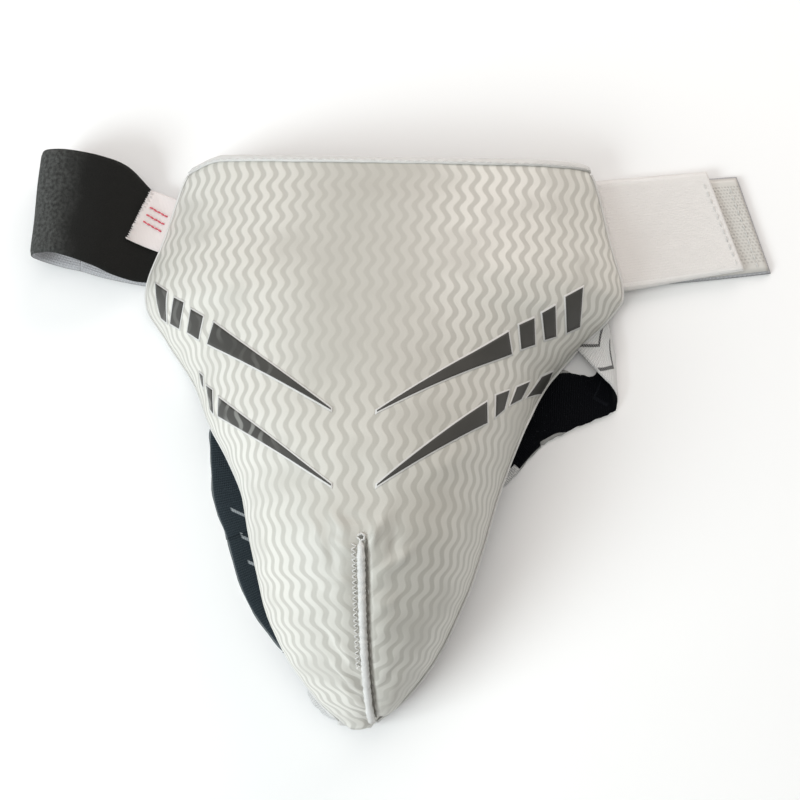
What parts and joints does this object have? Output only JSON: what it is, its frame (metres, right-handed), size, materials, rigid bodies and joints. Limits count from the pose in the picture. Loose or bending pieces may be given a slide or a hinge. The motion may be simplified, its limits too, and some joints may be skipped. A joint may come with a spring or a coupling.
{
  "type": "groin protector",
  "caption": "Padded groin guard with an embossed domed shell over a hard cup, a hook-and-loop waist belt and elastic leg straps.",
  "frame": {"origin": "under the middle of the object's box, on the surface that it lies on", "axes": "+X to the right as seen from the front, along the waist belt; +Y towards the waist edge; +Z out of the shell's front"},
  "size_m": [0.355, 0.2694, 0.0933],
  "materials": {
    "cover": "embossed satin",
    "foam": "matte foam",
    "cup_plastic": "satin",
    "lining": "knitted",
    "binding": "satin tape",
    "tab": "woven tape",
    "plush": "brushed plush",
    "hook": "hook tape",
    "loop_tape": "smooth knit",
    "label": "woven",
    "leg_elastic": "jacquard weave"
  },
  "bodies": {
    "shell": {"outer_cover": "cover", "foam_pad": "foam", "cup_cushion": "foam", "hard_cup": "cup_plastic", "back_lining": "lining", "top_binding": "binding", "side_binding_left": "binding", "side_binding_right": "binding", "front_seam": "binding", "tip_tab": "tab", "belt_front_run": "plush", "loop_strap_root": "loop_tape", "leg_strap_left_top": "leg_elastic", "leg_strap_left_end": "leg_elastic", "leg_strap_right_top": "leg_elastic", "leg_strap_right_end": "leg_elastic"},
    "belt": {"belt_rear_run": "plush", "hook_patch": "hook"},
    "closure_strap": {"loop_strap": "loop_tape"},
    "label": {"size_label": "label"},
    "leg_strap_left": {"leg_strap_left": "leg_elastic"},
    "leg_strap_right": {"leg_strap_right": "leg_elastic"}
  },
  "joints": [
    {"name": "belt_unfold", "type": "hinge", "parent": "shell", "child": "belt", "pos_m": [-0.17576, 0.10575, 0.01414], "axis": [0.0698, 0.9976, 0], "range_deg": [0, 180]},
    {"name": "closure_peel", "type": "hinge", "parent": "shell", "child": "closure_strap", "pos_m": [0.1027, 0.10077, 0.00504], "axis": [0.2588, -0.9659, 0], "range_deg": [0, 100]},
    {"name": "label_flip", "type": "hinge", "parent": "shell", "child": "label", "pos_m": [-0.10852, 0.09606, 0.00584], "axis": [0.3256, 0.9455, 0], "range_deg": [0, 40]},
    {"name": "leg_strap_left_swing", "type": "hinge", "parent": "shell", "child": "leg_strap_left", "pos_m": [-0.05245, -0.03756, 0.00084], "axis": [0.3513, -0.9363, 0], "range_deg": [0, 80]},
    {"name": "leg_strap_right_swing", "type": "hinge", "parent": "shell", "child": "leg_strap_right", "pos_m": [0.04065, -0.04149, 0.00084], "axis": [0.3277, 0.9448, 0], "range_deg": [0, 80]}
  ]
}
